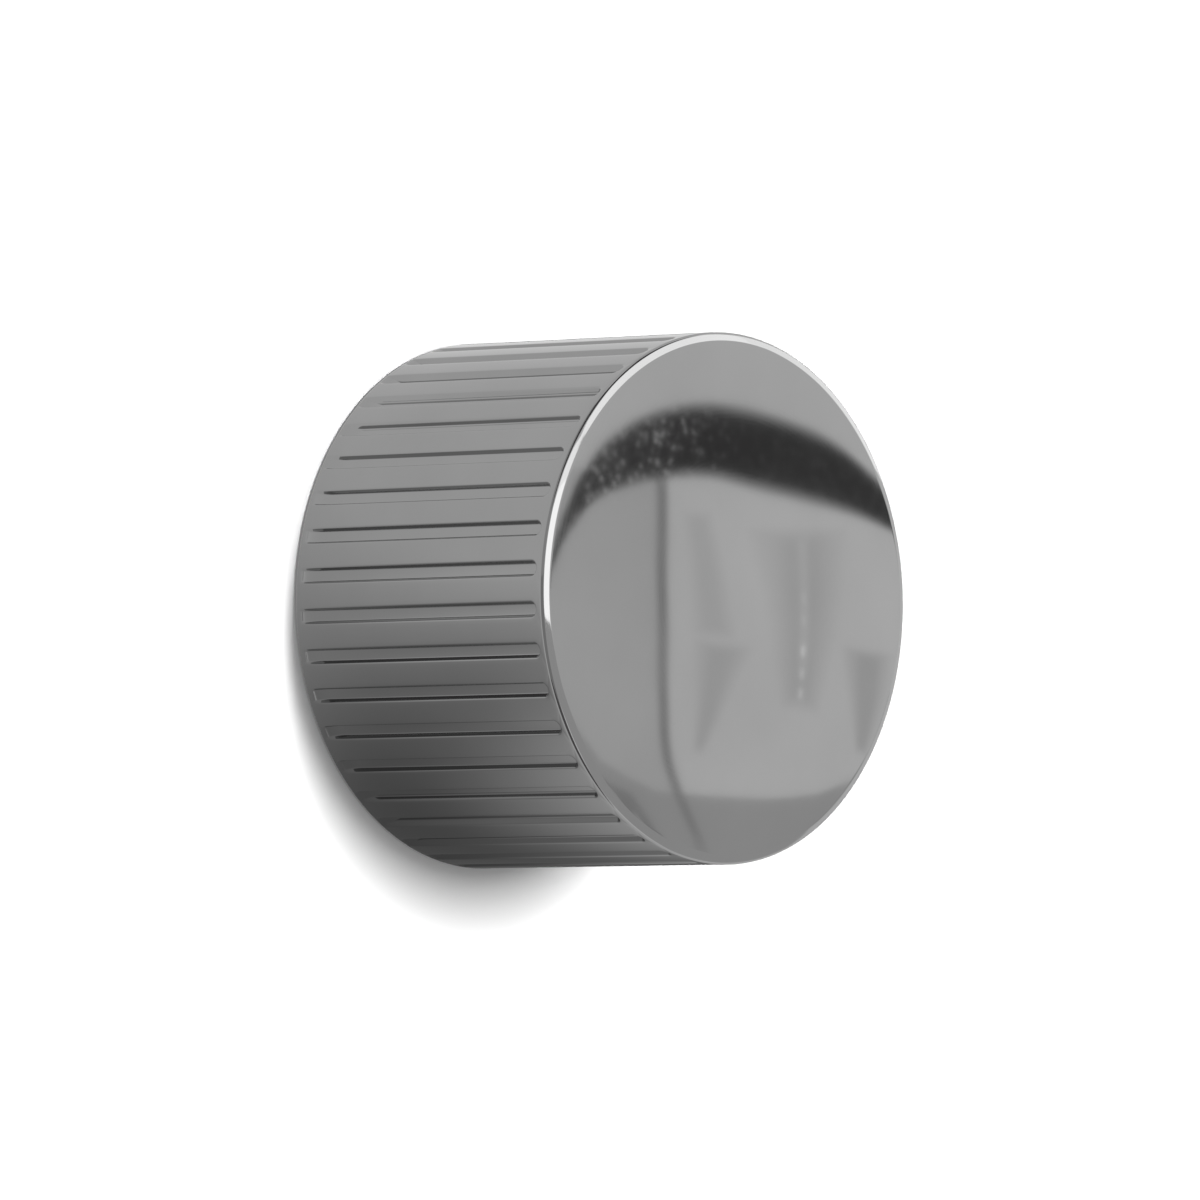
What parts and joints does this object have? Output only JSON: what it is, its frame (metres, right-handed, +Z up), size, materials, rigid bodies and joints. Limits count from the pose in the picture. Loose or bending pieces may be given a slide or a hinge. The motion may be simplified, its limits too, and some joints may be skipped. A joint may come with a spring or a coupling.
{
  "type": "cabinet knob",
  "caption": "Round turned metal cabinet knob with a fluted grip whose flutes stop short of both ends, a bevelled front edge, a gently domed polished face and a tapped hole in its flat back.",
  "frame": {"origin": "centre of the flat back face, where it meets the door or drawer front", "axes": "+Z up as mounted; +Y out of the back face into the door, so the domed face looks along -Y; +X to the right seen from the front"},
  "size_m": [0.032, 0.022, 0.032],
  "materials": {
    "polished_metal": "polished, with fine polishing lines"
  },
  "bodies": {
    "root": {"knob": "polished_metal"}
  },
  "joints": []
}
